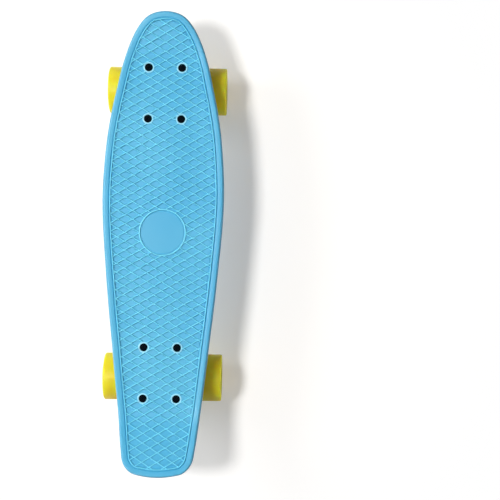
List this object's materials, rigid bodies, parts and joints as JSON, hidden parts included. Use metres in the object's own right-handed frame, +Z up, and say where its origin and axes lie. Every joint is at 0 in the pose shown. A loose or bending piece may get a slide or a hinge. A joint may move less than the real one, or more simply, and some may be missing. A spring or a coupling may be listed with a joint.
{
  "type": "cruiser skateboard",
  "caption": "Short moulded plastic cruiser board with a kicktail, kingpin trucks on sprung bushings and soft wheels on ball bearings.",
  "frame": {"origin": "on the floor under the middle of the board, midway between the nose and tail tips, with the wheels' lowest flats at z = 0", "axes": "+Z up, the nose points along -Y and the kicktail along +Y, X runs along the axles"},
  "size_m": [0.151, 0.572, 0.111],
  "materials": {
    "deck_plastic": "moulded sky-blue polypropylene, satin gloss",
    "bolt_black": "black oxide",
    "nut_steel": "bright nickel plating",
    "truck_metal": "satin to polished warm nickel",
    "kingpin_steel": "machined steel",
    "washer_metal": "pressed and plated",
    "bushing_urethane": "translucent amber urethane",
    "pivot_cup_plastic": "dark nylon",
    "wheel_urethane": "smooth cast yellow urethane",
    "bearing_steel": "ground and shielded steel"
  },
  "bodies": {
    "deck": {"deck": "deck_plastic", "bolt_front_nose_left": "bolt_black", "lock_nut_front_nose_left": "nut_steel", "bolt_front_nose_right": "bolt_black", "lock_nut_front_nose_right": "nut_steel", "bolt_front_tail_left": "bolt_black", "lock_nut_front_tail_left": "nut_steel", "bolt_front_tail_right": "bolt_black", "lock_nut_front_tail_right": "nut_steel", "bolt_rear_nose_left": "bolt_black", "lock_nut_rear_nose_left": "nut_steel", "bolt_rear_nose_right": "bolt_black", "lock_nut_rear_nose_right": "nut_steel", "bolt_rear_tail_left": "bolt_black", "lock_nut_rear_tail_left": "nut_steel", "bolt_rear_tail_right": "bolt_black", "lock_nut_rear_tail_right": "nut_steel", "front_baseplate": "truck_metal", "front_kingpin": "kingpin_steel", "front_kingpin_nut": "nut_steel", "front_bottom_washer": "washer_metal", "front_top_washer": "washer_metal", "front_bottom_bushing": "bushing_urethane", "front_top_bushing": "bushing_urethane", "front_pivot_cup": "pivot_cup_plastic", "rear_baseplate": "truck_metal", "rear_kingpin": "kingpin_steel", "rear_kingpin_nut": "nut_steel", "rear_bottom_washer": "washer_metal", "rear_top_washer": "washer_metal", "rear_bottom_bushing": "bushing_urethane", "rear_top_bushing": "bushing_urethane", "rear_pivot_cup": "pivot_cup_plastic"},
    "front_hanger": {"front_hanger": "truck_metal", "front_axle": "kingpin_steel", "front_left_bearing_spacer_stack": "bearing_steel", "front_left_axle_nut": "nut_steel", "front_right_bearing_spacer_stack": "bearing_steel", "front_right_axle_nut": "nut_steel"},
    "rear_hanger": {"rear_hanger": "truck_metal", "rear_axle": "kingpin_steel", "rear_left_bearing_spacer_stack": "bearing_steel", "rear_left_axle_nut": "nut_steel", "rear_right_bearing_spacer_stack": "bearing_steel", "rear_right_axle_nut": "nut_steel"},
    "front_left_wheel": {"front_left_wheel": "wheel_urethane", "front_left_inner_bearing": "bearing_steel", "front_left_outer_bearing": "bearing_steel"},
    "front_right_wheel": {"front_right_wheel": "wheel_urethane", "front_right_inner_bearing": "bearing_steel", "front_right_outer_bearing": "bearing_steel"},
    "rear_left_wheel": {"rear_left_wheel": "wheel_urethane", "rear_left_inner_bearing": "bearing_steel", "rear_left_outer_bearing": "bearing_steel"},
    "rear_right_wheel": {"rear_right_wheel": "wheel_urethane", "rear_right_inner_bearing": "bearing_steel", "rear_right_outer_bearing": "bearing_steel"}
  },
  "joints": [
    {"name": "front_truck_steer", "type": "hinge", "parent": "deck", "child": "front_hanger", "pos_m": [0, -0.2125, 0.0665], "axis": [0, -0.9274, 0.3741], "range_deg": [-12, 12], "stiffness_Nm_per_rad": 40, "deforming": ["front_bottom_bushing", "front_top_bushing"]},
    {"name": "rear_truck_steer", "type": "hinge", "parent": "deck", "child": "rear_hanger", "pos_m": [0, 0.1885, 0.0665], "axis": [0, 0.9274, 0.3741], "range_deg": [-12, 12], "stiffness_Nm_per_rad": 40, "deforming": ["rear_bottom_bushing", "rear_top_bushing"]},
    {"name": "front_left_wheel_spin", "type": "hinge", "parent": "front_hanger", "child": "front_left_wheel", "pos_m": [-0.05195, -0.1968, 0.03], "axis": [1, 0, 0], "continuous": true},
    {"name": "front_right_wheel_spin", "type": "hinge", "parent": "front_hanger", "child": "front_right_wheel", "pos_m": [0.05195, -0.1968, 0.03], "axis": [1, 0, 0], "continuous": true},
    {"name": "rear_left_wheel_spin", "type": "hinge", "parent": "rear_hanger", "child": "rear_left_wheel", "pos_m": [-0.05195, 0.1728, 0.03], "axis": [1, 0, 0], "continuous": true},
    {"name": "rear_right_wheel_spin", "type": "hinge", "parent": "rear_hanger", "child": "rear_right_wheel", "pos_m": [0.05195, 0.1728, 0.03], "axis": [1, 0, 0], "continuous": true}
  ]
}
